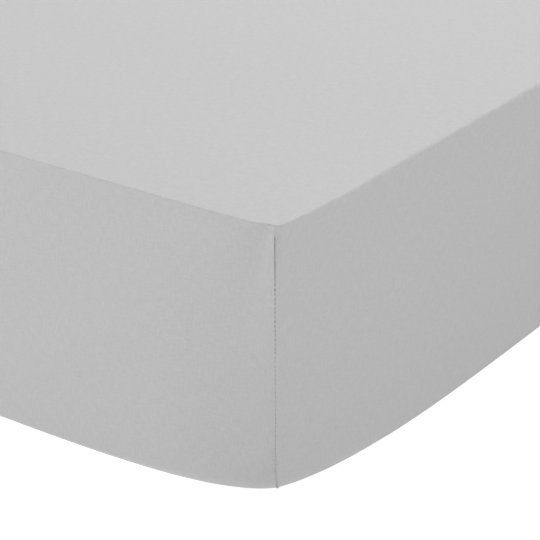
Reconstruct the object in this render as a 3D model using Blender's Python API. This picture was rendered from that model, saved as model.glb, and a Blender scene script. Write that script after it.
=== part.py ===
"""A single fitted sheet stretched over a plain mattress.

The sheet is one cloth: a flat top panel and four side panels, sewn to each other along the
four upright corner seams, drawn under the mattress and ending in a hem. The mattress is a
plain block that follows the inside of the cloth.

Frame: the origin is on the floor under the middle of the mattress. X runs across the width,
Y along the length with the foot end at -Y, and Z up. All sizes are in metres.
"""

import math
from collections import namedtuple

import bmesh
import bpy
import numpy as np

# Driving sizes
MATTRESS_WIDTH = 0.900
MATTRESS_LENGTH = 1.900
MATTRESS_DEPTH = 0.250
CLOTH = 0.0014              # thickness of the sheet
GAP = 0.0004                # from the sheet to the mattress on the flat faces
MATTRESS_SOFTER = 0.0045    # the mattress is this much rounder, so 2 mm clear at its edges
MATTRESS_PULL = 0.020       # and its corners' flats go this much further along the sides
POCKET = 0.330              # cloth from the top panel's fold to the hem

# The long sides' top edge softens away from the corners, over this stretch from the seam
SOFTENS_FROM = 0.070
SOFTENS_TO = 0.160

# The lip of the top edge beside a seam
LIP_DRAW = 0.002            # over which it fades, away from the seam
LIP_GONE = 0.30             # share of the wall by which it has gone

# The sides' pull along the wall reaches as far as they say at the top edge, and further by
# growth from the share PULL_GROWN of the wall on. It falls evenly over the share EVEN_PULL
# of its way, and then rounds off.
PULL_GROWN = 0.30
EVEN_PULL = 0.4
TURNED = math.pi / 4        # angle round the lower edge by which it follows draw instead
MITRE = 0.75                # share of the top fold's radius in x and in y, at a seam

# The corner seam: a shallow valley
SEAM_HALF_WIDTH = 0.0015
SEAM_DEPTH = 0.0008
SEAM_START = 0.009          # below the top face
SEAM_FADE = 0.004           # over which the valley reaches its depth

# Grid: steps of each panel from a seam to the panel's middle, and rows from top to hem
SHEET_STEPS = {"short": 13, "long": 15}
SHEET_ROWS = {"edge": 3, "wall": 7, "under": 5, "tuck": 1}
MATTRESS_STEPS = {"short": 8, "long": 10}
MATTRESS_ROWS = {"edge": 2, "wall": 4, "under": 4, "tuck": 0}
MATTRESS_FIRST_STEP = 0.008
WALL_CROWDING = 1.7         # rows of the wall crowd towards the top, where the puckers are

SHEET_WIDTH = MATTRESS_WIDTH + 2 * (GAP + CLOTH)
SHEET_LENGTH = MATTRESS_LENGTH + 2 * (GAP + CLOTH)
HEIGHT = MATTRESS_DEPTH + 2 * (GAP + CLOTH)

# Where each corner's seam runs. All but rise are distances in from the corner that the flat
# side faces would make: in x and in y, at the top edge, at the foot of the wall, and on the
# floor. rise is how high above the floor the seam starts to turn under.
Corner = namedtuple("Corner", "top_x top_y foot_x foot_y floor_x floor_y rise")
CORNERS = {
    ("right", "foot"): Corner(0.0092, 0.0055, 0.0198, 0.0214, 0.0422, 0.0574, 0.0695),
    ("right", "head"): Corner(0.0086, 0.0060, 0.0204, 0.0207, 0.0450, 0.0548, 0.0670),
    ("left", "head"): Corner(0.0090, 0.0057, 0.0194, 0.0217, 0.0416, 0.0586, 0.0710),
    ("left", "foot"): Corner(0.0088, 0.0059, 0.0201, 0.0210, 0.0441, 0.0560, 0.0680),
}

# How the cloth bends. crisp is the round of the fold between top and sides, and soft the
# same along the middle of the long sides. further is how much further the corners' pull
# goes than the sides say. reach and rise are the quarter ellipse of the lower edge, away
# from the corners.
Shape = namedtuple("Shape", "crisp soft further reach rise corners")
SHEET_SHAPE = Shape(0.0025, 0.007, 0.0, 0.0127, 0.0056, CORNERS)

# The four sides, anticlockwise seen from above, each from its first corner to its second.
Side = namedtuple("Side", "size first second along inward")
SIDES = (
    Side("short", ("left", "foot"), ("right", "foot"), (1, 0), (0, 1)),
    Side("long", ("right", "foot"), ("right", "head"), (0, 1), (-1, 0)),
    Side("short", ("right", "head"), ("left", "head"), (-1, 0), (0, -1)),
    Side("long", ("left", "head"), ("left", "foot"), (0, -1), (1, 0)),
)

# How far the corners' pull goes along short and long sides: on the wall at the top edge, how
# much further it grows downwards, and the length over which it fades at the lower edge, the
# steeper at first the lower its power. lip is how far the seam's place at the top edge sticks
# out beyond the pull.
Pull = namedtuple("Pull", "top growth draw power lip")
PULLS = {
    "short": Pull(0.030, 0.085, 0.056, 0.83, 0.0),
    "long": Pull(0.075, 0.055, 0.071, 0.93, 0.0036),
}

# Uneven places of the top edge beside each seam, drawn in by inset about offset from it
Waver = namedtuple("Waver", "size offset width inset")
WAVERS = (
    Waver("short", 0.0055, 0.0040, 0.0011),
    Waver("short", 0.0320, 0.0160, 0.0009),
    Waver("long", 0.0550, 0.0120, 0.0012),
)
WAVERS_GONE = 0.035         # share of the wall by which they have gone

# Small puckers that fan out from the top of each corner seam, on the short side's panel and
# on the long side's. offset is the distance from the seam at the top edge, and drift how far
# the pucker moves away from the seam for each metre down. width is its half width, height
# is negative for a trough, and it fades out over length.
Pucker = namedtuple("Pucker", "size offset drift width height length")
PUCKERS = (
    Pucker("short", 0.0008, 0.20, 0.0030, 0.0010, 0.050),
    Pucker("short", 0.0090, 0.20, 0.0055, -0.0007, 0.055),
    Pucker("long", 0.0065, 0.05, 0.0030, 0.0004, 0.045),
    Pucker("long", 0.0150, 0.10, 0.0045, -0.0005, 0.055),
)
PUCKERS_START = 0.007       # below the top face, where the puckers reach their height

Rows = namedtuple("Rows", "edge wall under tuck")
Seam = namedtuple("Seam", "along inset height reach rise")


def corner_reach(corner):
    """How far the seam turns in under the mattress, seen from above."""
    return math.hypot(corner.floor_x - corner.foot_x, corner.floor_y - corner.foot_y)


def softened(shape, by, further):
    """The same shape with every round larger by a length, and its pull going further."""
    set_back = by * (1 - math.sqrt(0.5))
    corners = {}
    for place, corner in shape.corners.items():
        grown = 1 + by / corner_reach(corner)
        corners[place] = Corner(
            top_x=corner.top_x + set_back,
            top_y=corner.top_y + set_back,
            foot_x=corner.foot_x + set_back,
            foot_y=corner.foot_y + set_back,
            floor_x=corner.foot_x + set_back + (corner.floor_x - corner.foot_x) * grown,
            floor_y=corner.foot_y + set_back + (corner.floor_y - corner.foot_y) * grown,
            rise=corner.rise + by,
        )
    return Shape(
        crisp=shape.crisp + by,
        soft=shape.soft + by,
        further=further,
        reach=shape.reach + by,
        rise=shape.rise + by,
        corners=corners,
    )


def profile_rows(edge, wall, under, tuck):
    """Rows from the top panel's fold to the hem, with the given number of steps in each part.

    edge is the angle turned round the top edge, wall the share of the wall passed, under the
    angle turned round the lower edge, and tuck the share of the flat part under the mattress.
    """
    index = np.arange(1 + edge + wall + under + tuck)

    def share(first, steps):
        return np.clip((index - first) / max(steps, 1), 0, 1)

    return Rows(
        edge=share(0, edge) * math.pi / 2,
        wall=share(edge, wall) ** WALL_CROWDING,
        under=share(edge + wall, under) * math.pi / 2,
        tuck=share(edge + wall + under, tuck),
    )


def row_height(rows, fold, rise):
    """Height of each row, for a top fold of this radius and a turn under from this rise."""
    return (
        HEIGHT
        - fold * (1 - np.cos(rows.edge))
        - (HEIGHT - fold - rise) * rows.wall
        - rise * np.sin(rows.under)
    )


def row_inset(rows, fold, top, foot, floor, tucked):
    """Distance in from the flat side face: at the top edge, the wall's foot and the floor.

    fold is the part of the top fold's radius that lies in this direction, and tucked the
    length that goes on flat under the mattress.
    """
    return (
        fold * (1 - np.sin(rows.edge))
        + top
        + (foot - top) * rows.wall
        + (floor - foot) * (1 - np.cos(rows.under))
        + tucked * rows.tuck
    )


def tuck_length(fold, rise, *insets):
    """What the pocket leaves to lie flat under the mattress, past a section with these insets."""
    steps = profile_rows(edge=20, wall=20, under=20, tuck=0)
    curve = [row_inset(steps, *inset, tucked=0) for inset in insets]
    curve.append(row_height(steps, fold, rise))
    return POCKET - np.linalg.norm(np.diff(np.stack(curve), axis=1), axis=0).sum()


def seam_section(corner, shape, rows, size):
    """The course of a corner's seam, as seen from a short or a long side's panel."""
    course_x = (shape.crisp * MITRE, corner.top_x, corner.foot_x, corner.floor_x)
    course_y = (shape.crisp * MITRE, corner.top_y, corner.foot_y, corner.floor_y)
    tucked = tuck_length(shape.crisp, corner.rise, course_x, course_y) * math.sqrt(0.5)
    x = row_inset(rows, *course_x, tucked)
    y = row_inset(rows, *course_y, tucked)
    height = row_height(rows, shape.crisp, corner.rise)
    along, inset = (x, y) if size == "short" else (y, x)
    return Seam(along, inset, height, corner_reach(corner), corner.rise)


def soft_step(value, low, high):
    """Rises smoothly from 0 at low to 1 at high: 3 t^2 - 2 t^3 of the share t between them."""
    share = np.clip((value - low) / (high - low), 0, 1)
    return share**2 * (3 - 2 * share)


def wall_pull(shape, pull, rows, from_seam):
    """The share of a corner's pull on the wall that is left at a distance from its seam.

    It falls evenly and then rounds off to nothing, so that the cloth runs flat from the seam
    to a slanting bend.
    """
    reach = pull.top + pull.growth * np.clip(rows.wall / PULL_GROWN, 0, 1) + shape.further
    gone = np.clip(from_seam / reach, 0, 1)
    even = 1 - 2 * gone / (1 + EVEN_PULL)
    rounded = (1 - gone) ** 2 / (1 - EVEN_PULL**2)
    return np.where(gone < EVEN_PULL, even, rounded)


def fold_radius(shape, size, from_seam):
    """Radius of the top fold: crisp, but softer along the middle of the long sides."""
    softer = (shape.soft - shape.crisp) * (size == "long")
    return shape.crisp + softer * soft_step(from_seam, SOFTENS_FROM, SOFTENS_TO)


def graded_steps(half, first, count):
    """Distances from a seam to the panel's middle: the first step as given, then growing."""
    low, high = 1.001, 8.0
    for _ in range(60):
        growth = (low + high) / 2
        reached = first * (growth**count - 1) / (growth - 1)
        low, high = (growth, high) if reached < half else (low, growth)
    return half * (growth ** np.arange(count + 1) - 1) / (growth**count - 1)


def panel_shares(first_step, steps):
    """Places of each panel's columns, as shares of its length, for short and long panels."""
    shares = {}
    for size, length in (("short", SHEET_WIDTH), ("long", SHEET_LENGTH)):
        half = graded_steps(length / 2, first_step, steps[size])
        shares[size] = np.concatenate([half, (length - half[::-1])[1:]]) / length
    return shares


def side_panel(side, shape, rows, shares):
    """One side panel as a grid, columns along the side and rows down to the hem.

    Far from the corners the panel follows its own section: top fold, wall, lower edge and
    tuck. Near a corner it adds the way from there to the seam, times the corner's pull.
    Returns the points, the distance to the nearer seam, and the reach and rise of the turn
    under, which give the cloth's slope there.
    """
    length = SHEET_WIDTH if side.size == "short" else SHEET_LENGTH
    start, end = (
        seam_section(shape.corners[corner], shape, rows, side.size)
        for corner in (side.first, side.second)
    )
    place = start.along + shares[side.size][:, None] * (length - start.along - end.along)
    from_seam = np.minimum(place - start.along, length - end.along - place)

    fold = fold_radius(shape, side.size, from_seam)
    tucked = tuck_length(shape.crisp, shape.rise, (shape.crisp, 0, 0, shape.reach))
    inset = row_inset(rows, fold, 0, 0, shape.reach, tucked)
    height = row_height(rows, fold, shape.rise)
    seam_inset = row_inset(rows, shape.crisp, 0, 0, shape.reach, tucked)
    seam_height = row_height(rows, shape.crisp, shape.rise)
    reach = np.full(place.shape, shape.reach)
    rise = np.full(place.shape, shape.rise)

    pull = PULLS[side.size]
    lip = pull.lip * (1 - soft_step(rows.wall, 0, LIP_GONE))
    turned = soft_step(rows.under, 0, TURNED)
    for seam, run in ((start, place - start.along), (end, length - end.along - place)):
        run = np.maximum(run, 0)
        low = np.exp(-((run / pull.draw) ** pull.power))
        left = wall_pull(shape, pull, rows, run) * (1 - turned) + low * turned
        inset = inset + (seam.inset - seam_inset - lip) * left + lip * np.exp(-run / LIP_DRAW)
        height = height + (seam.height - seam_height) * low
        reach = reach + (seam.reach - shape.reach) * low
        rise = rise + (seam.rise - shape.rise) * low
    for waver in WAVERS:
        if waver.size == side.size:
            bell = np.exp(-(((from_seam - waver.offset) / waver.width) ** 2))
            inset = inset + waver.inset * bell * (1 - soft_step(rows.wall, 0, WAVERS_GONE))

    along, inward = np.array(side.along), np.array(side.inward)
    origin = -(along + inward) * np.array([SHEET_WIDTH, SHEET_LENGTH]) / 2
    flat = origin + place[..., None] * along + inset[..., None] * inward
    return np.concatenate([flat, height[..., None]], axis=2), from_seam, reach, rise


def cloth_ring(shape, rows, shares):
    """The four panels joined into one ring, with the cloth's outward normal at each point.

    The normal's level part is square to the row as seen from above, and its slope is that
    of a quarter round at the top fold and a quarter ellipse at the lower edge.
    """
    columns = ([], [], [], [])
    sizes = []
    for side in SIDES:
        for whole, part in zip(columns, side_panel(side, shape, rows, shares)):
            whole.append(part[:-1])
        sizes += [side.size] * (len(shares[side.size]) - 1)
    points, from_seam, reach, rise = (np.concatenate(whole) for whole in columns)

    run = np.roll(points, -1, axis=0) - np.roll(points, 1, axis=0)
    level = np.stack([run[..., 1], -run[..., 0]], axis=2)
    level /= np.linalg.norm(level, axis=2, keepdims=True)
    out = rise * np.cos(rows.under)
    down = reach * np.sin(rows.under)
    turn = np.hypot(out, down)
    level_share = np.sin(rows.edge) * out / turn
    up_share = np.cos(rows.edge) - down / turn
    normal = np.concatenate([level * level_share[..., None], up_share[..., None]], axis=2)
    return points, normal, from_seam, np.array(sizes)


def surface_relief(points, from_seam, sizes):
    """How far the outer face stands out of the plain cloth: seam valleys and puckers."""
    depth = HEIGHT - points[..., 2]
    opened = np.clip((depth - SEAM_START) / SEAM_FADE, 0, 1)
    relief = -SEAM_DEPTH * opened * np.clip(1 - from_seam / SEAM_HALF_WIDTH, 0, 1)
    for pucker in PUCKERS:
        ridge = np.exp(-((from_seam - pucker.offset - pucker.drift * depth) / pucker.width) ** 2)
        fade = np.clip(depth / PUCKERS_START, 0, 1) * np.clip(1 - depth / pucker.length, 0, 1)
        relief += pucker.height * ridge * fade * (sizes == pucker.size)[:, None]
    return relief


def filled_ring(ring, shares):
    """A grid that fills a closed ring, blended from its four sides (a Coons patch)."""
    short, long = len(shares["short"]) - 1, len(shares["long"]) - 1
    closed = np.concatenate([ring, ring[:1]])
    foot = closed[: short + 1]
    right = closed[short : short + long + 1]
    head = closed[short + long : 2 * short + long + 1][::-1]
    left = closed[2 * short + long :][::-1]
    across = shares["short"][:, None, None]
    up = shares["long"][None, :, None]
    ends = (1 - up) * foot[:, None] + up * head[:, None]
    flanks = (1 - across) * left[None] + across * right[None]
    low = (1 - across) * foot[0] + across * foot[-1]
    high = (1 - across) * head[0] + across * head[-1]
    return ends + flanks - (1 - up) * low - up * high


def grid_quads(count_a, count_b, first):
    """Quads of a grid of points stored with the second index running fastest."""
    index = first + np.arange(count_a * count_b).reshape(count_a, count_b)
    corners = index[:-1, :-1], index[1:, :-1], index[1:, 1:], index[:-1, 1:]
    return np.stack(corners, axis=2).reshape(-1, 4)


def closed_solid(name, grids, material):
    """One object from point grids whose borders meet, welded into a single closed body."""
    points, quads, first = [], [], 0
    for grid in grids:
        points.append(grid.reshape(-1, 3))
        quads.append(grid_quads(grid.shape[0], grid.shape[1], first))
        first += grid.shape[0] * grid.shape[1]
    mesh = bpy.data.meshes.new(name)
    mesh.from_pydata(np.concatenate(points).tolist(), [], np.concatenate(quads).tolist())

    body = bmesh.new()
    body.from_mesh(mesh)
    bmesh.ops.remove_doubles(body, verts=body.verts, dist=1e-6)
    bmesh.ops.recalc_face_normals(body, faces=body.faces)
    body.to_mesh(mesh)
    body.free()
    mesh.shade_smooth()
    mesh.set_sharp_from_angle(angle=math.radians(50))
    mesh.materials.append(material)
    solid = bpy.data.objects.new(name, mesh)
    bpy.context.scene.collection.objects.link(solid)
    return solid


def wrapped(ring):
    """The ring with its first column repeated at the end, so that its grid closes."""
    return np.concatenate([ring, ring[:1]])


def plain_material(name, colour, roughness):
    """A plain surface for one sub-part: its linear colour and its roughness, never metallic."""
    material = bpy.data.materials.new(name)
    material.use_nodes = True
    surface = material.node_tree.nodes["Principled BSDF"]
    surface.inputs["Base Color"].default_value = (*colour, 1)
    surface.inputs["Roughness"].default_value = roughness
    surface.inputs["Metallic"].default_value = 0
    return material


def build_sheet():
    """The cloth: an outer and an inner face, filled on top and joined at the hem."""
    rows = profile_rows(**SHEET_ROWS)
    shares = panel_shares(SEAM_HALF_WIDTH, SHEET_STEPS)
    points, normal, from_seam, sizes = cloth_ring(SHEET_SHAPE, rows, shares)
    outer = points + normal * surface_relief(points, from_seam, sizes)[..., None]
    inner = points - normal * CLOTH
    outer[:, rows.tuck > 0, 2] = 0
    inner[:, rows.tuck > 0, 2] = CLOTH
    hem = np.stack([outer[:, -1], inner[:, -1]], axis=1)
    grids = (
        wrapped(outer),
        filled_ring(outer[:, 0], shares),
        wrapped(hem),
        wrapped(inner),
        filled_ring(inner[:, 0], shares),
    )
    cotton = plain_material("light_grey_cotton", (0.42, 0.42, 0.42), 0.9)
    return closed_solid("fitted_sheet", grids, cotton)


def build_mattress():
    """The plain mattress: a closed block, a small gap inside the cloth and rounder than it."""
    rows = profile_rows(**MATTRESS_ROWS)
    shares = panel_shares(MATTRESS_FIRST_STEP, MATTRESS_STEPS)
    shape = softened(SHEET_SHAPE, MATTRESS_SOFTER, MATTRESS_PULL)
    points, normal, _, _ = cloth_ring(shape, rows, shares)
    skin = points - normal * (CLOTH + GAP)
    grids = (wrapped(skin), filled_ring(skin[:, 0], shares), filled_ring(skin[:, -1], shares))
    ticking = plain_material("white_ticking", (0.72, 0.71, 0.68), 0.85)
    return closed_solid("mattress", grids, ticking)


for leftover in list(bpy.data.objects):
    bpy.data.objects.remove(leftover)
build_sheet()
build_mattress()
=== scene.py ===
"""Looks of a single fitted sheet in light grey cotton percale, stretched over a mattress.

The sheet is one cloth: a flat top panel and four side panels, sewn together along the four
upright corner seams, drawn under the mattress and hemmed all round. It is worked out as one
surface, with one parameter that runs round the bed and one that runs down to the hem, and
given the thickness of the cloth. The stitches of the corner seams are a piece of their own.

Frame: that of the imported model, in metres. The origin is on the floor under the middle of
the mattress, X runs across the width, Y along the length with the foot end at -Y, and Z up.
"""

import math
from collections import namedtuple

import bmesh
import bpy
import numpy as np
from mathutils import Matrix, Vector


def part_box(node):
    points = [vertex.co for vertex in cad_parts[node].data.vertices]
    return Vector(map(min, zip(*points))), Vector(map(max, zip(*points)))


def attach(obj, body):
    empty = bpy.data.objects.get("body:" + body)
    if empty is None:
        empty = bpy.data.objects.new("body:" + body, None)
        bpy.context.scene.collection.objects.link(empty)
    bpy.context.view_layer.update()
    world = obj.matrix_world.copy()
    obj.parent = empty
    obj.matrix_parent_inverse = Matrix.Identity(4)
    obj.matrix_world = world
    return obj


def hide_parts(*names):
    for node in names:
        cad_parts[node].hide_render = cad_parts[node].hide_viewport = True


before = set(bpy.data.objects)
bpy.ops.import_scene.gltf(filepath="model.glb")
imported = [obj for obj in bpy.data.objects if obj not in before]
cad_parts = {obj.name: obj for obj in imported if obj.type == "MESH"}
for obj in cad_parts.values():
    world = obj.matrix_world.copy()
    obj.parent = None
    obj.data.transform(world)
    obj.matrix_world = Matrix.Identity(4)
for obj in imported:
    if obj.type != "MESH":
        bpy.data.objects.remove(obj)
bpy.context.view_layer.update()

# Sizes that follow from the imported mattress
MATTRESS_LOW, MATTRESS_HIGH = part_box("mattress")
STAND_OFF = MATTRESS_LOW.z              # outer face of the cloth to the mattress
SHEET_WIDTH = MATTRESS_HIGH.x - MATTRESS_LOW.x + 2 * STAND_OFF
SHEET_LENGTH = MATTRESS_HIGH.y - MATTRESS_LOW.y + 2 * STAND_OFF
HEIGHT = MATTRESS_HIGH.z + STAND_OFF
PANEL_LENGTHS = {"short": SHEET_WIDTH, "long": SHEET_LENGTH}

# The cloth
CLOTH = 0.0005              # thickness, as drawn
HEM_CLOTH = 0.0012          # the same where the hem is folded double
POCKET = 0.330              # from the top panel's fold to the hem
HEM = 0.015                 # width of the hem

# The long sides' top edge softens away from the corners, over this stretch from the seam
SOFTENS_FROM = 0.060
SOFTENS_TO = 0.150

# The lip of the top edge beside a seam
LIP_DRAW = 0.002            # over which it rises, away from the seam
LIP_GONE = 0.30             # share of the wall by which it has gone

# The sides' pull along the wall reaches as far as they say at the top edge, and further by
# growth from the share PULL_GROWN of the wall on. It falls evenly over the share EVEN_PULL
# of its way, and then rounds off.
PULL_GROWN = 0.30
EVEN_PULL = 0.4
TURNED = math.pi / 4        # angle round the lower edge by which it follows draw instead
SEAM_EASE = 0.0020          # over which the pull at the lower edge rounds off at the seam
MITRE = 0.75                # share of the top fold's radius in x and in y, at a seam

# The corner seam: a slot between the two panels, gaping a little way below its top end, and
# closing again where the seam turns under. depth is below the top face, and short and long
# are how wide the slot is on the panels of a short and a long side.
SEAM_START = 0.0090         # below the top face
SEAM_FADE = 0.0010          # over which the slot reaches its depth
Opening = namedtuple("Opening", "depth short long")
OPENINGS = (
    Opening(0.009, 0.00048, 0.00010),
    Opening(0.020, 0.00048, 0.00014),
    Opening(0.034, 0.00064, 0.00064),
    Opening(0.050, 0.00068, 0.00068),
    Opening(0.075, 0.00054, 0.00054),
    Opening(0.120, 0.00042, 0.00042),
    Opening(0.170, 0.00042, 0.00042),
    Opening(0.190, 0.00028, 0.00028),
)
SLOT_DEPTH = 0.0025
SLOT_FOOT = 0.30            # share of the slot's depth that is left at its foot
SLOT_CLOSED = math.pi / 8   # angle round the lower edge by which it has closed to that share

# Stitches of the corner seams, which cross the slot. The first stands a pitch below the
# slot's start.
STITCH_PITCH = 0.0040
STITCH_LENGTH = 0.0018      # along the seam
STITCH_WIDTH = 0.0018       # across the slot
STITCH_HEIGHT = 0.0008
STITCH_SINK = 0.0002        # middle of a stitch below the cloth's face
STITCH_TOP_SINK = 0.0018    # the same in the upper part, where the stitches are drawn in
STITCH_FOOT_SINK = -0.0001  # the same round the lower edge, where they stand out a little
STITCH_RISES = 0.040        # along the seam from its top, where the stitches start to come up
STITCH_RISEN = 0.056        # and where they reach the face
STITCH_RING = 8             # points round a stitch
STITCH_STEPS = 5            # points from one end of it to the other

# Grid: the steps between columns grow from the first at a seam to the largest, and rows crowd
# towards the top, where the creases are
FIRST_STEP = 0.00012
STEP_GROWTH = 1.14          # from one step to the next
LARGEST_STEP = 0.030
SHEET_ROWS = {"edge": 6, "wall": 48, "under": 12, "tuck": 5}
WALL_CROWDING = 2.0         # power of the row's share of the wall
MEASURE_STEPS = 20          # steps in each bend of a section that is only measured

# Meshes
MERGE_DISTANCE = 1e-6       # points closer than this are the same
SHARP_ANGLE = 60            # degrees between faces from which an edge stays sharp

# Where each corner's seam runs. All but rise are distances in from the corner that the flat
# side faces would make: in x and in y, at the top edge, at the foot of the wall, and on the
# floor. rise is how high above the floor the seam starts to turn under.
Corner = namedtuple("Corner", "top_x top_y foot_x foot_y floor_x floor_y rise")
CORNERS = {
    ("right", "foot"): Corner(0.0092, 0.0055, 0.0198, 0.0214, 0.0422, 0.0574, 0.0695),
    ("right", "head"): Corner(0.0086, 0.0060, 0.0204, 0.0207, 0.0450, 0.0548, 0.0670),
    ("left", "head"): Corner(0.0090, 0.0057, 0.0194, 0.0217, 0.0416, 0.0586, 0.0710),
    ("left", "foot"): Corner(0.0088, 0.0059, 0.0201, 0.0210, 0.0441, 0.0560, 0.0680),
}

# How the cloth bends. crisp is the round of the fold between top and sides, and soft the
# same along the middle of the long sides. reach and rise are the quarter ellipse of the
# lower edge, away from the corners.
Shape = namedtuple("Shape", "crisp soft reach rise corners")
SHEET_SHAPE = Shape(0.0015, 0.0040, 0.0127, 0.0056, CORNERS)

# The four sides, anticlockwise seen from above, each from its first corner to its second.
Side = namedtuple("Side", "size first second along inward")
SIDES = (
    Side("short", ("left", "foot"), ("right", "foot"), (1, 0), (0, 1)),
    Side("long", ("right", "foot"), ("right", "head"), (0, 1), (-1, 0)),
    Side("short", ("right", "head"), ("left", "head"), (-1, 0), (0, -1)),
    Side("long", ("left", "head"), ("left", "foot"), (0, -1), (1, 0)),
)

# How far the corners' pull goes along short and long sides: on the wall at the top edge, how
# much further it grows downwards, and the length over which it fades at the lower edge, the
# steeper at first the lower its power. lip is how far the top edge close beside the seam
# stands out from the seam itself.
Pull = namedtuple("Pull", "top growth draw power lip")
PULLS = {
    "short": Pull(0.030, 0.085, 0.056, 0.83, 0.0),
    "long": Pull(0.075, 0.055, 0.071, 0.93, 0.0036),
}

# Uneven places of the top edge beside each seam, drawn in by inset about offset from it
Waver = namedtuple("Waver", "size offset width inset")
WAVERS = (
    Waver("short", 0.0055, 0.0040, 0.0011),
    Waver("short", 0.0320, 0.0160, 0.0009),
    Waver("long", 0.0550, 0.0120, 0.0012),
)
WAVERS_GONE = 0.035         # share of the wall by which they have gone

# Creases that fan out from the top of each corner seam. The crest starts at the seam, start
# below the top face, and ends up reach away from it, most of it within bend. The cloth
# rises evenly from the seam to the crest, and falls beyond it over width. The crease has
# faded out at length below the top face.
Crease = namedtuple("Crease", "size start reach bend height width length")
CREASES = (
    Crease("short", 0.0010, 0.0130, 0.058, 0.0003, 0.0021, 0.056),
    Crease("long", 0.002, 0.0065, 0.008, 0.0005, 0.0030, 0.080),
)

# Soft dips beside them, offset from the seam, moving away from it by drift for each metre
# down. near is their half width towards the seam, and width the same away from it. They too
# have faded out at length below the top face.
Dip = namedtuple("Dip", "size offset drift near width depth length")
DIPS = (
    Dip("short", 0.0045, 0.20, 0.0042, 0.0120, 0.0006, 0.058),
    Dip("short", 0.0080, 0.25, 0.0100, 0.0140, 0.0011, 0.110),
    Dip("long", 0.0120, 0.10, 0.0040, 0.0050, 0.0006, 0.075),
)
DIPS_START = 0.010          # below the top face, where the dips reach their depth

# Camera, floor and lights
CAMERA_PLACE = (1.1464, -1.9325, 0.7823)
CAMERA_TURN = 35.68         # degrees, from straight along the bed towards its left side
CAMERA_TILT = 24.96         # degrees, downwards
LENS = 122.45               # mm, on a sensor 36 mm wide
SENSOR = 36.0
FLOOR_SIZE = 26.0
FLOOR_DROP = 0.0005         # below the part, so that their faces don't coincide
FLOOR_COLOUR = 0.4          # linear grey
FLOOR_GLOW = 0.856
ROOM_LIGHT = 0.10

# Square soft boxes, all as large and as far away, and turned to AIM by the bed's near corner.
# turn is how far round the bed each stands, from straight before the foot end towards the
# right side, and tilt how high above level, both in degrees. power is in watts.
AIM = (0.2, -0.6, 0.1)
LIGHT_DISTANCE = 3.0
LIGHT_SIZE = 1.6
SoftBox = namedtuple("SoftBox", "name turn tilt power")
SOFT_BOXES = (
    SoftBox("low_left", 315, 8, 57.8),
    SoftBox("front", 45, 50, 33.6),
    SoftBox("right", 90, 50, 29.7),
    SoftBox("behind", 180, 50, 23.6),
    SoftBox("far_left", 225, 50, 56.1),
)

Rows = namedtuple("Rows", "edge wall under tuck")
Seam = namedtuple("Seam", "along inset height reach rise")
Panel = namedtuple("Panel", "points flat from_seam reach rise")
Ring = namedtuple("Ring", "points normal from_seam sizes flats starts")
Stitches = namedtuple("Stitches", "centre side down out")


def soft_step(value, low, high):
    """Rises smoothly from 0 at low to 1 at high: 3 t^2 - 2 t^3 of the share t between them."""
    share = np.clip((value - low) / (high - low), 0, 1)
    return share**2 * (3 - 2 * share)


# Shape of the cloth


def corner_reach(corner):
    """How far the seam turns in under the mattress, seen from above."""
    return math.hypot(corner.floor_x - corner.foot_x, corner.floor_y - corner.foot_y)


def profile_rows(edge, wall, under, tuck):
    """Rows from the top panel's fold to the hem, with the given number of steps in each part.

    edge is the angle turned round the top edge, wall the share of the wall passed, under the
    angle turned round the lower edge, and tuck the share of the flat part under the mattress.
    """
    index = np.arange(1 + edge + wall + under + tuck)

    def share(first, steps):
        return np.clip((index - first) / max(steps, 1), 0, 1)

    return Rows(
        edge=share(0, edge) * math.pi / 2,
        wall=share(edge, wall) ** WALL_CROWDING,
        under=share(edge + wall, under) * math.pi / 2,
        tuck=share(edge + wall + under, tuck),
    )


def row_height(rows, fold, rise):
    """Height of each row: a quarter round of radius fold, the wall, a quarter ellipse of rise."""
    return (
        HEIGHT
        - fold * (1 - np.cos(rows.edge))
        - (HEIGHT - fold - rise) * rows.wall
        - rise * np.sin(rows.under)
    )


def row_inset(rows, fold, top, foot, floor, tucked):
    """Distance in from the flat side face: at the top edge, the wall's foot and the floor.

    fold is the part of the top fold's radius that lies in this direction, and tucked the
    length that goes on flat under the mattress.
    """
    return (
        fold * (1 - np.sin(rows.edge))
        + top
        + (foot - top) * rows.wall
        + (floor - foot) * (1 - np.cos(rows.under))
        + tucked * rows.tuck
    )


def tuck_length(fold, rise, *insets):
    """What the pocket leaves to lie flat under the mattress, past a section with these insets."""
    steps = profile_rows(edge=MEASURE_STEPS, wall=MEASURE_STEPS, under=MEASURE_STEPS, tuck=0)
    curve = [row_inset(steps, *inset, tucked=0) for inset in insets]
    curve.append(row_height(steps, fold, rise))
    return POCKET - np.linalg.norm(np.diff(np.stack(curve), axis=1), axis=0).sum()


def seam_section(corner, shape, rows, size):
    """The course of a corner's seam, as seen from a short or a long side's panel.

    Under the mattress the seam runs on at 45 degrees, as far in x as in y.
    """
    course_x = (shape.crisp * MITRE, corner.top_x, corner.foot_x, corner.floor_x)
    course_y = (shape.crisp * MITRE, corner.top_y, corner.foot_y, corner.floor_y)
    tucked = tuck_length(shape.crisp, corner.rise, course_x, course_y) * math.sqrt(0.5)
    x = row_inset(rows, *course_x, tucked)
    y = row_inset(rows, *course_y, tucked)
    height = row_height(rows, shape.crisp, corner.rise)
    along, inset = (x, y) if size == "short" else (y, x)
    return Seam(along, inset, height, corner_reach(corner), corner.rise)


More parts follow.
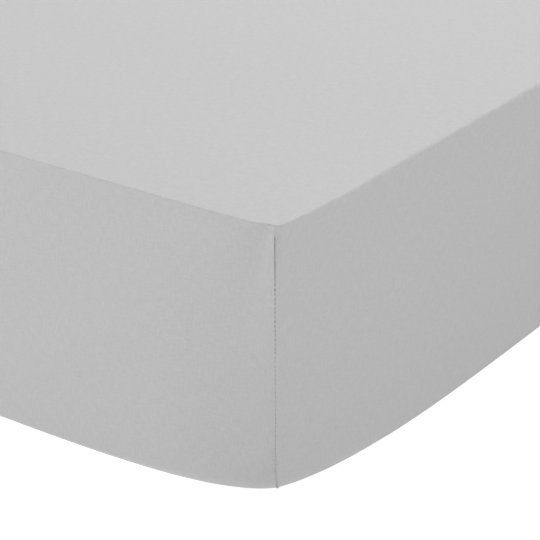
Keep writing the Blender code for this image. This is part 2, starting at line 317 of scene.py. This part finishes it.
def wall_pull(pull, rows, from_seam):
    """The share of a corner's pull on the wall that is left at a distance from its seam.

    It falls evenly over the share EVEN_PULL of its reach, and then with the square of what is
    left of it, so that the cloth runs flat from the seam to a slanting bend.
    """
    reach = pull.top + pull.growth * np.clip(rows.wall / PULL_GROWN, 0, 1)
    gone = np.clip(from_seam / reach, 0, 1)
    even = 1 - 2 * gone / (1 + EVEN_PULL)
    rounded = (1 - gone) ** 2 / (1 - EVEN_PULL**2)
    return np.where(gone < EVEN_PULL, even, rounded)


def fold_radius(shape, size, from_seam):
    """Radius of the top fold: crisp, but softer along the middle of the long sides."""
    softer = (shape.soft - shape.crisp) * (size == "long")
    return shape.crisp + softer * soft_step(from_seam, SOFTENS_FROM, SOFTENS_TO)


def panel_shares():
    """Places of each panel's columns, as shares of its length, for short and long panels.

    From each seam the steps grow geometrically up to the largest, and then stay even.
    """
    shares = {}
    for size, length in PANEL_LENGTHS.items():
        growing = math.ceil(math.log(LARGEST_STEP / FIRST_STEP) / math.log(STEP_GROWTH))
        steps = FIRST_STEP * STEP_GROWTH ** np.arange(growing)
        even = math.ceil((length / 2 - steps.sum()) / LARGEST_STEP)
        steps = np.concatenate([steps, np.full(even, (length / 2 - steps.sum()) / even)])
        half = np.concatenate([[0], np.cumsum(steps)])
        shares[size] = np.concatenate([half, (length - half[::-1])[1:]]) / length
    return shares


def waver_inset(size, rows, from_seam):
    """How far the uneven places draw the top edge in: bells, which fade out down the wall."""
    inset = np.zeros(from_seam.shape)
    for waver in WAVERS:
        if waver.size == size:
            bell = np.exp(-(((from_seam - waver.offset) / waver.width) ** 2))
            inset = inset + waver.inset * bell
    return inset * (1 - soft_step(rows.wall, 0, WAVERS_GONE))


def passed_length(points, axis):
    """Length of cloth up to each point along one axis of a grid: the sum of its steps so far."""
    steps = np.linalg.norm(np.diff(points, axis=axis), axis=-1)
    return np.insert(np.cumsum(steps, axis=axis), 0, 0, axis=axis)


def side_panel(side, shape, rows, shares):
    """One side panel as a grid, columns along the side and rows down to the hem.

    Far from the corners the panel follows its own section: top fold, wall, lower edge and
    tuck. Near a corner it adds the way from there to the seam, times the corner's pull.
    flat is where each point was in the flat cut, which is the distance along the side and
    the length of cloth passed since the top fold. The panel's from_seam is the length of cloth
    along the row to the nearer seam.
    """
    length = PANEL_LENGTHS[side.size]
    start, end = (
        seam_section(shape.corners[corner], shape, rows, side.size)
        for corner in (side.first, side.second)
    )
    place = start.along + shares[side.size][:, None] * (length - start.along - end.along)
    from_seam = np.minimum(place - start.along, length - end.along - place)

    fold = fold_radius(shape, side.size, from_seam)
    tucked = tuck_length(shape.crisp, shape.rise, (shape.crisp, 0, 0, shape.reach))
    inset = row_inset(rows, fold, 0, 0, shape.reach, tucked)
    height = row_height(rows, fold, shape.rise)
    seam_inset = row_inset(rows, shape.crisp, 0, 0, shape.reach, tucked)
    seam_height = row_height(rows, shape.crisp, shape.rise)
    reach = np.full(place.shape, shape.reach)
    rise = np.full(place.shape, shape.rise)

    pull = PULLS[side.size]
    lip = pull.lip * (1 - soft_step(rows.wall, 0, LIP_GONE))
    turned = soft_step(rows.under, 0, TURNED)
    for seam, run in ((start, place - start.along), (end, length - end.along - place)):
        run = np.maximum(run, 0)
        eased = np.hypot(run, SEAM_EASE) - SEAM_EASE
        low = np.exp(-((eased / pull.draw) ** pull.power))
        left = wall_pull(pull, rows, run) * (1 - turned) + low * turned
        inset = inset + (seam.inset - seam_inset - lip) * left + lip * np.exp(-run / LIP_DRAW)
        height = height + (seam.height - seam_height) * low
        reach = reach + (seam.reach - shape.reach) * low
        rise = rise + (seam.rise - shape.rise) * low
    inset = inset + waver_inset(side.size, rows, from_seam)

    along, inward = np.array(side.along), np.array(side.inward)
    origin = -(along + inward) * np.array([SHEET_WIDTH, SHEET_LENGTH]) / 2
    level = origin + place[..., None] * along + inset[..., None] * inward
    points = np.concatenate([level, height[..., None]], axis=2)

    down = passed_length(points, axis=1)
    flat = origin + place[..., None] * along + (inset[:, :1] - down)[..., None] * inward
    across = passed_length(points, axis=0)
    return Panel(points, flat, np.minimum(across, across[-1] - across), reach, rise)


def cloth_ring(shape, rows, shares):
    """The four panels joined into one ring, with the cloth's outward normal at each point.

    The normal's level part is square to the row as seen from above, and its slope is that
    of a quarter round at the top fold and a quarter ellipse at the lower edge. starts has
    the ring's column where each panel starts.
    """
    panels = [side_panel(side, shape, rows, shares) for side in SIDES]
    points, from_seam, reach, rise = (
        np.concatenate([getattr(panel, name)[:-1] for panel in panels])
        for name in ("points", "from_seam", "reach", "rise")
    )
    lengths = [len(panel.points) - 1 for panel in panels]
    sizes = np.repeat([side.size for side in SIDES], lengths)

    run = np.roll(points, -1, axis=0) - np.roll(points, 1, axis=0)
    level = np.stack([run[..., 1], -run[..., 0]], axis=2)
    level /= np.linalg.norm(level, axis=2, keepdims=True)
    out = rise * np.cos(rows.under)
    down = reach * np.sin(rows.under)
    turn = np.hypot(out, down)
    level_share = np.sin(rows.edge) * out / turn
    up_share = np.cos(rows.edge) - down / turn
    normal = np.concatenate([level * level_share[..., None], up_share[..., None]], axis=2)
    starts = np.concatenate([[0], np.cumsum(lengths)])
    return Ring(points, normal, from_seam, sizes, [panel.flat for panel in panels], starts)


def seam_relief(rows, depth, ring):
    """The slot of a corner seam, as a height: (u / width)^4 - 1 times its depth, u away from it.

    Its width goes evenly from one opening to the next, and it is shallower round the lower
    edge.
    """
    place, short, long = np.transpose(OPENINGS)
    on_short = (ring.sizes == "short")[:, None]
    width = np.where(on_short, np.interp(depth, place, short), np.interp(depth, place, long))
    started = soft_step(depth, SEAM_START, SEAM_START + SEAM_FADE)
    closed = 1 - (1 - SLOT_FOOT) * soft_step(rows.under, 0, SLOT_CLOSED)
    return -SLOT_DEPTH * started * closed * np.clip(1 - (ring.from_seam / width) ** 4, 0, 1)


def crease_relief(crease, depth, from_seam):
    """A crease as a height: straight up from the seam to the crest, then a bell's far side.

    It fades over the lower half of its length.
    """
    crest = crease.reach * (1 - np.exp(-(depth - crease.start) / crease.bend))
    crest = np.maximum(crest, FIRST_STEP)
    near = from_seam / crest
    far = np.exp(-((np.maximum(from_seam - crest, 0) / crease.width) ** 2))
    risen = soft_step(depth, crease.start, crease.start + crease.width)
    fade = 1 - soft_step(depth, crease.length / 2, crease.length)
    return crease.height * np.minimum(near, far) * risen * fade


def dip_relief(dip, depth, from_seam):
    """A soft dip as a height: a bell across, wider on one side.

    It deepens from the top face on, and fades over the lower half of its length.
    """
    across = from_seam - dip.offset - dip.drift * depth
    across = across / np.where(across < 0, dip.near, dip.width)
    fade = soft_step(depth, 0, DIPS_START) * (1 - soft_step(depth, dip.length / 2, dip.length))
    return -dip.depth * np.exp(-(across**2)) * fade


def cloth_relief(ring, rows):
    """How far the outer face stands out of the plain shape: seam slots, creases and dips."""
    depth = HEIGHT - ring.points[..., 2]
    relief = seam_relief(rows, depth, ring)
    for crease in CREASES:
        on_panel = (ring.sizes == crease.size)[:, None]
        relief = relief + crease_relief(crease, depth, ring.from_seam) * on_panel
    for dip in DIPS:
        on_panel = (ring.sizes == dip.size)[:, None]
        relief = relief + dip_relief(dip, depth, ring.from_seam) * on_panel
    return relief


def filled_ring(ring, shares):
    """A grid that fills a closed ring, blended from its four sides (a Coons patch).

    Each point is the blend of foot and head, plus that of left and right, less that of the
    four corners.
    """
    short, long = len(shares["short"]) - 1, len(shares["long"]) - 1
    closed = np.concatenate([ring, ring[:1]])
    foot = closed[: short + 1]
    right = closed[short : short + long + 1]
    head = closed[short + long : 2 * short + long + 1][::-1]
    left = closed[2 * short + long :][::-1]
    across = shares["short"][:, None, None]
    up = shares["long"][None, :, None]
    ends = (1 - up) * foot[:, None] + up * head[:, None]
    flanks = (1 - across) * left[None] + across * right[None]
    low = (1 - across) * foot[0] + across * foot[-1]
    high = (1 - across) * head[0] + across * head[-1]
    return ends + flanks - (1 - up) * low - up * high


# Meshes


def grid_quads(count_a, count_b, first):
    """Quads of a grid of points stored with the second index running fastest."""
    index = first + np.arange(count_a * count_b).reshape(count_a, count_b)
    corners = index[:-1, :-1], index[1:, :-1], index[1:, 1:], index[:-1, 1:]
    return np.stack(corners, axis=2).reshape(-1, 4)


def add_object(name, mesh, material):
    """Links a new object with this mesh and material, standing at the origin."""
    mesh.materials.append(material)
    piece = bpy.data.objects.new(name, mesh)
    bpy.context.scene.collection.objects.link(piece)
    return piece


def close_mesh(mesh):
    """Merges the borders that meet, turns all faces outwards and shades them smoothly."""
    body = bmesh.new()
    body.from_mesh(mesh)
    bmesh.ops.remove_doubles(body, verts=body.verts, dist=MERGE_DISTANCE)
    bmesh.ops.recalc_face_normals(body, faces=body.faces)
    body.to_mesh(mesh)
    body.free()
    mesh.shade_smooth()


def closed_cloth(name, grids, flats, material):
    """One closed cloth from point grids whose borders meet, with its flat cut as UV map."""
    quads, first = [], 0
    for grid in grids:
        quads.append(grid_quads(grid.shape[0], grid.shape[1], first))
        first += grid.shape[0] * grid.shape[1]
    points = np.concatenate([grid.reshape(-1, 3) for grid in grids])
    flat = np.concatenate([flat.reshape(-1, 2) for flat in flats])
    quads = np.concatenate(quads)
    mesh = bpy.data.meshes.new(name)
    mesh.from_pydata(points.tolist(), [], quads.tolist())
    mesh.uv_layers.new(name="flat_cut").data.foreach_set("uv", flat[quads.ravel()].ravel())
    close_mesh(mesh)
    mesh.set_sharp_from_angle(angle=math.radians(SHARP_ANGLE))
    return add_object(name, mesh, material)


def panel_grids(ring, grid):
    """The four panels' grids, cut at the seams from a grid that runs round the whole ring."""
    closed = np.concatenate([grid, grid[:1]])
    return [closed[start : end + 1] for start, end in zip(ring.starts[:-1], ring.starts[1:])]


def build_sheet(ring, rows, shares, material):
    """The sheet: outer and inner faces, side panels and top, joined along the hem's edge.

    The inner face lies the cloth's thickness further in, along the normal. Under the mattress
    the outer face lies flat on the floor, and the last HEM of the cloth is thicker.
    """
    tucked = POCKET - HEIGHT
    hemmed = soft_step(rows.tuck * tucked, tucked - HEM - CLOTH, tucked - HEM)
    thickness = CLOTH + (HEM_CLOTH - CLOTH) * hemmed
    relief = cloth_relief(ring, rows)
    outer = ring.points + ring.normal * relief[..., None]
    inner = ring.points + ring.normal * (relief - thickness)[..., None]
    on_floor = rows.tuck > 0
    outer[:, on_floor, 2] = 0
    inner[:, on_floor, 2] = thickness[on_floor]

    grids, flats = [], []
    for face in (outer, inner):
        top = filled_ring(face[:, 0], shares)
        grids += [*panel_grids(ring, face), top]
        flats += [*ring.flats, top[..., :2]]
    grids += panel_grids(ring, np.stack([outer[:, -1], inner[:, -1]], axis=1))
    flats += [flat[:, [-1, -1]] for flat in ring.flats]
    return closed_cloth("percale_sheet", grids, flats, material)


def stitch_places(seam, normal, under):
    """Centres of one seam's stitches, a pitch apart along it, and their three directions.

    side runs across the slot, down along the seam, and out away from the cloth. The centres
    lie below the face by the upper part's sink, then by the seam's, and last by the foot's.
    """
    passed = passed_length(seam, axis=0)
    places = np.arange(SEAM_START + STITCH_PITCH, passed[-1] - STITCH_PITCH, STITCH_PITCH)

    def at(values):
        return np.stack([np.interp(places, passed, values[:, k]) for k in range(3)], axis=1)

    out = at(normal)
    out /= np.linalg.norm(out, axis=1, keepdims=True)
    side = np.cross(out, at(np.gradient(seam, passed, axis=0)))
    side /= np.linalg.norm(side, axis=1, keepdims=True)
    down = np.cross(side, out)

    risen = soft_step(places, STITCH_RISES, STITCH_RISEN)
    turned = soft_step(np.interp(places, passed, under), 0, SLOT_CLOSED)
    sink = STITCH_TOP_SINK + (STITCH_SINK - STITCH_TOP_SINK) * risen
    sink = sink + (STITCH_FOOT_SINK - STITCH_SINK) * turned
    return Stitches(at(seam) - out * sink[:, None], side, down, out)


def build_stitches(ring, rows, material):
    """The stitches across all four corner seams, as one mesh.

    Each stitch is an ellipsoid: half its width times sin(lift) across the slot, half its
    length times cos(lift) cos(turn) along the seam, and half its height times
    cos(lift) sin(turn) outwards. Under the mattress it is pressed flat on the floor.
    """
    lift = np.linspace(-math.pi / 2, math.pi / 2, STITCH_STEPS)[:, None]
    turn = np.arange(STITCH_RING) * 2 * math.pi / STITCH_RING
    across = np.sin(lift) + 0 * turn
    along = np.cos(lift) * np.cos(turn)
    up = np.cos(lift) * np.sin(turn)
    bars = []
    for start in ring.starts[:-1]:
        places = stitch_places(ring.points[start], ring.normal[start], rows.under)
        centre, side, down, out = (values[:, None, None] for values in places)
        bars.append(
            centre
            + side * (across * STITCH_WIDTH / 2)[..., None]
            + down * (along * STITCH_LENGTH / 2)[..., None]
            + out * (up * STITCH_HEIGHT / 2)[..., None]
        )
    bars = np.concatenate(bars)
    bars[..., 2] = np.maximum(bars[..., 2], 0)

    index = np.arange(bars[..., 0].size).reshape(bars.shape[:3])
    around = np.roll(index, -1, axis=2)
    quads = np.stack([index[:, :-1], around[:, :-1], around[:, 1:], index[:, 1:]], axis=3)
    mesh = bpy.data.meshes.new("seam_stitches")
    mesh.from_pydata(bars.reshape(-1, 3).tolist(), [], quads.reshape(-1, 4).tolist())
    close_mesh(mesh)
    return add_object("seam_stitches", mesh, material)


# Materials


def hex_colour(code):
    """The linear colour, with alpha 1, of an sRGB hex code such as "#C0C0C0"."""
    srgb = np.array([int(code[k : k + 2], 16) for k in (1, 3, 5)]) / 255
    linear = np.where(srgb <= 0.04045, srgb / 12.92, ((srgb + 0.055) / 1.055) ** 2.4)
    return (*linear.tolist(), 1.0)


def new_material(name):
    """A material with an empty node tree but for its Principled surface and output."""
    material = bpy.data.materials.new(name)
    material.use_nodes = True
    return material, material.node_tree, material.node_tree.nodes["Principled BSDF"]


def add_node(tree, kind, inputs=None, **settings):
    """Adds a node with its settings. An input is given a value, or another node's output."""
    node = tree.nodes.new(kind)
    for name, value in settings.items():
        setattr(node, name, value)
    for name, value in (inputs or {}).items():
        if isinstance(value, bpy.types.NodeSocket):
            tree.links.new(value, node.inputs[name])
        else:
            node.inputs[name].default_value = value
    return node


# Cotton percale, plain woven and matt. Its threads are 0.35 mm apart, too fine to show here,
# so the unevenness of the threads is drawn three times as coarse. It gives the eye a faint
# grain without a direction, and no gloss.
THREAD_SPACING = 0.00035
THREAD_DRAWN = 3 * THREAD_SPACING
THREAD_SLUB = 0.009         # length over which a thread is thicker or thinner
THREAD_RELIEF = 0.0002      # height of the thicker places
WEAVE_DARK = 0.9            # sum of the three noises that gives the darker colour
WEAVE_LIGHT = 2.1           # and the lighter one
PERCALE_DARK = "#A5A5A5"
PERCALE_LIGHT = "#B5B5B5"


def percale_material():
    """Light grey percale: the colour and relief of slightly uneven warp and weft threads.

    They are the sum of three noises in the flat cut: one drawn out along the cloth, one across
    it, and one that is drawn out neither way.
    """
    material, tree, surface = new_material("light_grey_cotton_percale")
    flat = add_node(tree, "ShaderNodeUVMap", uv_map="flat_cut").outputs["UV"]

    def threads(across, along):
        scale = (1 / across, 1 / along, 1)
        place = add_node(tree, "ShaderNodeMapping", {"Vector": flat, "Scale": scale})
        settings = {"Vector": place.outputs["Vector"], "Scale": 1.0, "Detail": 1.0}
        return add_node(tree, "ShaderNodeTexNoise", settings).outputs["Fac"]

    warp = threads(THREAD_DRAWN, THREAD_SLUB)
    weft = threads(THREAD_SLUB, THREAD_DRAWN)
    crossing = threads(THREAD_DRAWN, THREAD_DRAWN)
    both = add_node(tree, "ShaderNodeMath", {0: warp, 1: weft}, operation="ADD").outputs[0]
    weave = add_node(tree, "ShaderNodeMath", {0: both, 1: crossing}, operation="ADD").outputs[0]
    span = {"Value": weave, "From Min": WEAVE_DARK, "From Max": WEAVE_LIGHT}
    share = add_node(tree, "ShaderNodeMapRange", span).outputs["Result"]
    colour = add_node(
        tree,
        "ShaderNodeMix",
        {"Factor": share, 6: hex_colour(PERCALE_DARK), 7: hex_colour(PERCALE_LIGHT)},
        data_type="RGBA",
    )
    bump = add_node(
        tree, "ShaderNodeBump", {"Height": weave, "Strength": 0.3, "Distance": THREAD_RELIEF}
    )
    tree.links.new(colour.outputs[2], surface.inputs["Base Color"])
    tree.links.new(bump.outputs["Normal"], surface.inputs["Normal"])
    surface.inputs["Roughness"].default_value = 0.9
    surface.inputs["IOR"].default_value = 1.5
    surface.inputs["Specular IOR Level"].default_value = 0.25
    surface.inputs["Sheen Weight"].default_value = 0.1
    surface.inputs["Sheen Roughness"].default_value = 0.5
    return material


# Polyester-cotton sewing thread, spun and matt: a little lighter than the cloth, with a faint
# mottle from its fibres
FIBRE_SCALE = 3000.0        # mottles to a metre, three to a millimetre
SEWING_DARK = "#ABABAB"
SEWING_LIGHT = "#BBBBBB"


def sewing_thread_material():
    """Grey sewing thread: a fine noise between its darker and its lighter colour."""
    material, tree, surface = new_material("grey_sewing_thread")
    place = add_node(tree, "ShaderNodeTexCoord").outputs["Object"]
    mottle = {"Vector": place, "Scale": FIBRE_SCALE}
    fibres = add_node(tree, "ShaderNodeTexNoise", mottle).outputs["Fac"]
    colour = add_node(
        tree,
        "ShaderNodeMix",
        {"Factor": fibres, 6: hex_colour(SEWING_DARK), 7: hex_colour(SEWING_LIGHT)},
        data_type="RGBA",
    )
    tree.links.new(colour.outputs[2], surface.inputs["Base Color"])
    surface.inputs["Roughness"].default_value = 0.7
    surface.inputs["Specular IOR Level"].default_value = 0.3
    return material


# Off-white cotton ticking, woven in a tight twill. Its ribs are 2 mm apart, and are drawn about
# seven times as coarse. It gives the eye faint slanting stripes, and no gloss.
RIB_DRAWN = 0.01451         # from one drawn rib to the next, square to them
RIB_RELIEF = 0.0002         # height of the ribs
TICKING_DARK = "#D6D3CB"
TICKING_LIGHT = "#E6E3DC"


def ticking_material():
    """Off-white mattress ticking: slanted twill ribs in colour and relief.

    The ribs are a sine wave, whose angle is ten times the sum of the scaled x, y and z.
    """
    material, tree, surface = new_material("off_white_twill_ticking")
    place = add_node(tree, "ShaderNodeTexCoord").outputs["Object"]
    scale = 2 * math.pi / (10 * math.sqrt(3) * RIB_DRAWN)
    ribs = add_node(
        tree,
        "ShaderNodeTexWave",
        {"Vector": place, "Scale": scale, "Distortion": 0.4},
        wave_type="BANDS",
        bands_direction="DIAGONAL",
    ).outputs["Fac"]
    colour = add_node(
        tree,
        "ShaderNodeMix",
        {"Factor": ribs, 6: hex_colour(TICKING_DARK), 7: hex_colour(TICKING_LIGHT)},
        data_type="RGBA",
    )
    bump = add_node(
        tree, "ShaderNodeBump", {"Height": ribs, "Strength": 0.4, "Distance": RIB_RELIEF}
    )
    tree.links.new(colour.outputs[2], surface.inputs["Base Color"])
    tree.links.new(bump.outputs["Normal"], surface.inputs["Normal"])
    surface.inputs["Roughness"].default_value = 0.85
    surface.inputs["Specular IOR Level"].default_value = 0.25
    return material


# Stage


def build_camera():
    """The camera, at the angle and distance of the view."""
    data = bpy.data.cameras.new("camera")
    data.lens = LENS
    data.sensor_width = SENSOR
    camera = bpy.data.objects.new("camera", data)
    camera.location = CAMERA_PLACE
    camera.rotation_euler = (math.radians(90 - CAMERA_TILT), 0, math.radians(CAMERA_TURN))
    bpy.context.scene.collection.objects.link(camera)
    bpy.context.scene.camera = camera


def build_floor():
    """A plain white floor, softly lit from within so that it stays white close to the bed."""
    half = FLOOR_SIZE / 2
    corners = [(-half, -half), (half, -half), (half, half), (-half, half)]
    mesh = bpy.data.meshes.new("floor")
    mesh.from_pydata([(x, y, -FLOOR_DROP) for x, y in corners], [], [(0, 1, 2, 3)])
    material, _, surface = new_material("white_floor")
    surface.inputs["Base Color"].default_value = (FLOOR_COLOUR, FLOOR_COLOUR, FLOOR_COLOUR, 1)
    surface.inputs["Roughness"].default_value = 1
    surface.inputs["Specular IOR Level"].default_value = 0
    surface.inputs["Emission Color"].default_value = (1, 1, 1, 1)
    surface.inputs["Emission Strength"].default_value = FLOOR_GLOW
    floor = add_object("floor", mesh, material)


def build_lights():
    """An even white room and the soft boxes."""
    world = bpy.data.worlds.new("white_room")
    world.use_nodes = True
    world.node_tree.nodes["Background"].inputs["Color"].default_value = (1, 1, 1, 1)
    world.node_tree.nodes["Background"].inputs["Strength"].default_value = ROOM_LIGHT
    bpy.context.scene.world = world
    for box in SOFT_BOXES:
        data = bpy.data.lights.new(box.name, "AREA")
        data.shape = "SQUARE"
        data.size = LIGHT_SIZE
        data.energy = box.power
        light = bpy.data.objects.new(box.name, data)
        turn, tilt = math.radians(box.turn), math.radians(box.tilt)
        level = math.cos(tilt)
        away = Vector((math.sin(turn) * level, -math.cos(turn) * level, math.sin(tilt)))
        light.location = Vector(AIM) + away * LIGHT_DISTANCE
        light.rotation_euler = away.to_track_quat("Z", "Y").to_euler()
        bpy.context.scene.collection.objects.link(light)


build_camera()
build_floor()
build_lights()
bpy.context.scene.view_settings.view_transform = "Standard"

sheet_rows = profile_rows(**SHEET_ROWS)
sheet_shares = panel_shares()
sheet_ring = cloth_ring(SHEET_SHAPE, sheet_rows, sheet_shares)
sheet = build_sheet(sheet_ring, sheet_rows, sheet_shares, percale_material())
stitches = build_stitches(sheet_ring, sheet_rows, sewing_thread_material())
for piece in (sheet, stitches):
    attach(piece, "root")
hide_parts("fitted_sheet")
ticking = ticking_material()
for material_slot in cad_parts["mattress"].material_slots:
    material_slot.material = ticking
